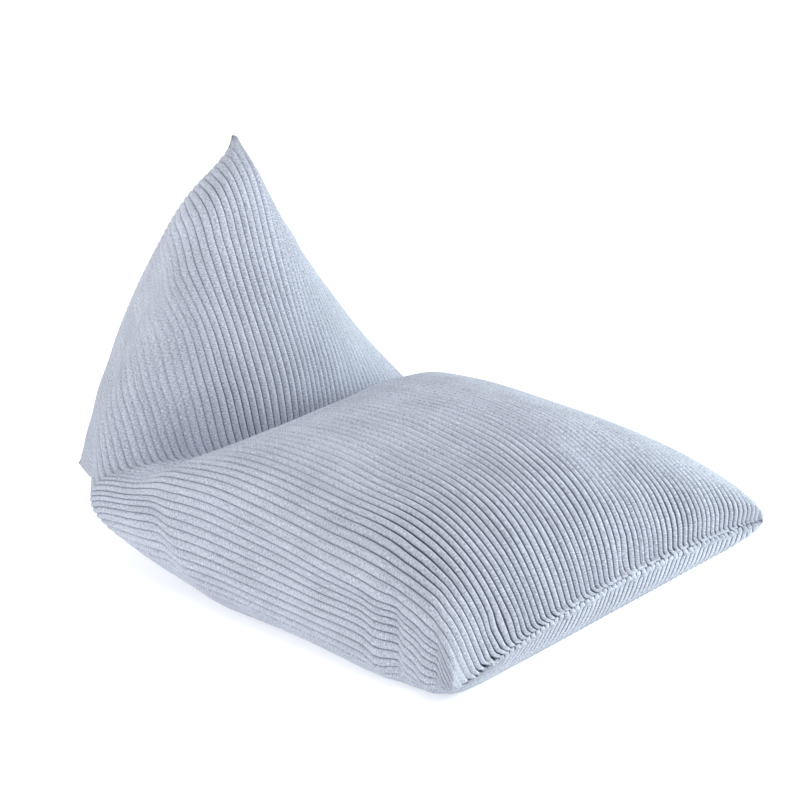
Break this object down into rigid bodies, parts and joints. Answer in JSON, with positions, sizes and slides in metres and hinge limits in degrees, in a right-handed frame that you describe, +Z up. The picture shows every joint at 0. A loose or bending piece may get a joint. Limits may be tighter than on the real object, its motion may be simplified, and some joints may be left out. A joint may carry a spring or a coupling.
{
  "type": "bean bag lounger",
  "caption": "Soft filled floor lounger in wide-rib cord: a flat-sewn foot, a crowned seat, a crease, and a backrest drawn up to a peak along an upright back seam.",
  "frame": {"origin": "on the floor under the middle of the bag, half way between its sides and half way between the foot and the back", "axes": "+Z up; +Y from the foot to the back; +X to the side that the picture shows at the right, away from the camera"},
  "size_m": [0.7446, 0.8462, 0.5436],
  "materials": {
    "cord_cover": "matt wide-rib cord with short pile, pale grey-blue"
  },
  "bodies": {
    "root": {"bean_bag": "cord_cover"}
  },
  "joints": []
}
